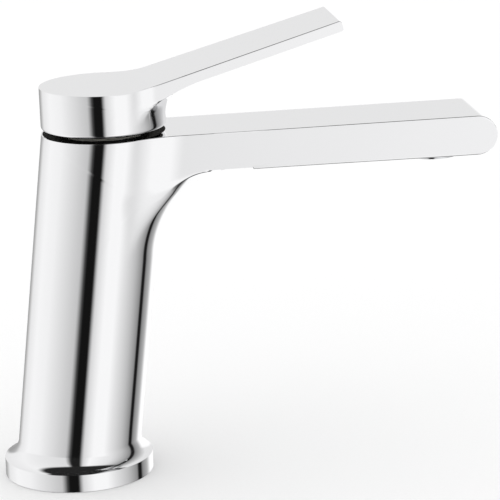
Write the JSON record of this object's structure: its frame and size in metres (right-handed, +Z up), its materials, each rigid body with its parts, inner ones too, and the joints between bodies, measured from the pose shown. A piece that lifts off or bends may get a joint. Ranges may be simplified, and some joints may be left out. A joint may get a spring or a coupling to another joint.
{
  "type": "basin mixer faucet",
  "caption": "Single-lever basin mixer: leaning round column on a flared base, straight flat spout with a rounded end, flush cap with a rising flat lever, ceramic cartridge, aerator.",
  "frame": {"origin": "centre of the base's underside, in the plane of the basin deck", "axes": "+X along the spout towards its end, +Z up, +Y to the left of someone looking along the spout"},
  "size_m": [0.1785, 0.053, 0.1597],
  "materials": {
    "polished_chrome": "polished chrome plate",
    "cover_chrome": "bright chrome plate",
    "aerator_chrome": "bright chrome plate",
    "machined_brass": "machined",
    "stainless_steel": "ground",
    "white_acetal": "moulded",
    "grey_plug": "moulded",
    "alumina_ceramic": "lapped",
    "black_rubber": "matt",
    "green_regulator": "matt"
  },
  "bodies": {
    "mixer_body": {"body": "polished_chrome", "base_gasket": "black_rubber", "fixed_disc": "alumina_ceramic", "disc_seals": "black_rubber", "cartridge_base": "white_acetal", "port_seals": "black_rubber", "cartridge_housing": "white_acetal", "thrust_washer": "white_acetal", "retaining_nut": "machined_brass", "cartridge_cover": "cover_chrome", "aerator_housing": "aerator_chrome", "aerator_insert": "white_acetal", "flow_regulator": "green_regulator", "aerator_filter": "stainless_steel", "aerator_seal": "black_rubber"},
    "rotor": {"spindle_rotor": "white_acetal", "pivot_pin": "stainless_steel"},
    "lever": {"handle": "polished_chrome", "grub_screw": "stainless_steel", "grub_plug": "grey_plug", "spindle": "machined_brass"},
    "slider": {"disc_carrier": "white_acetal", "moving_disc": "alumina_ceramic"}
  },
  "joints": [
    {"name": "temperature", "type": "hinge", "parent": "mixer_body", "child": "rotor", "pos_m": [0.01548, 0, 0.13084], "axis": [0, 0, 1], "range_deg": [-45, 45]},
    {"name": "lift", "type": "hinge", "parent": "rotor", "child": "lever", "pos_m": [0.01548, 0, 0.13084], "axis": [0, -1, 0], "range_deg": [0, 20]},
    {"name": "disc_slide", "type": "slide", "parent": "rotor", "child": "slider", "axis": [1, 0, 0], "range_m": [0, 0.0039]}
  ],
  "couplings": [
    {"joint": "disc_slide", "follows": "lift", "m_per_rad": 0.011}
  ]
}
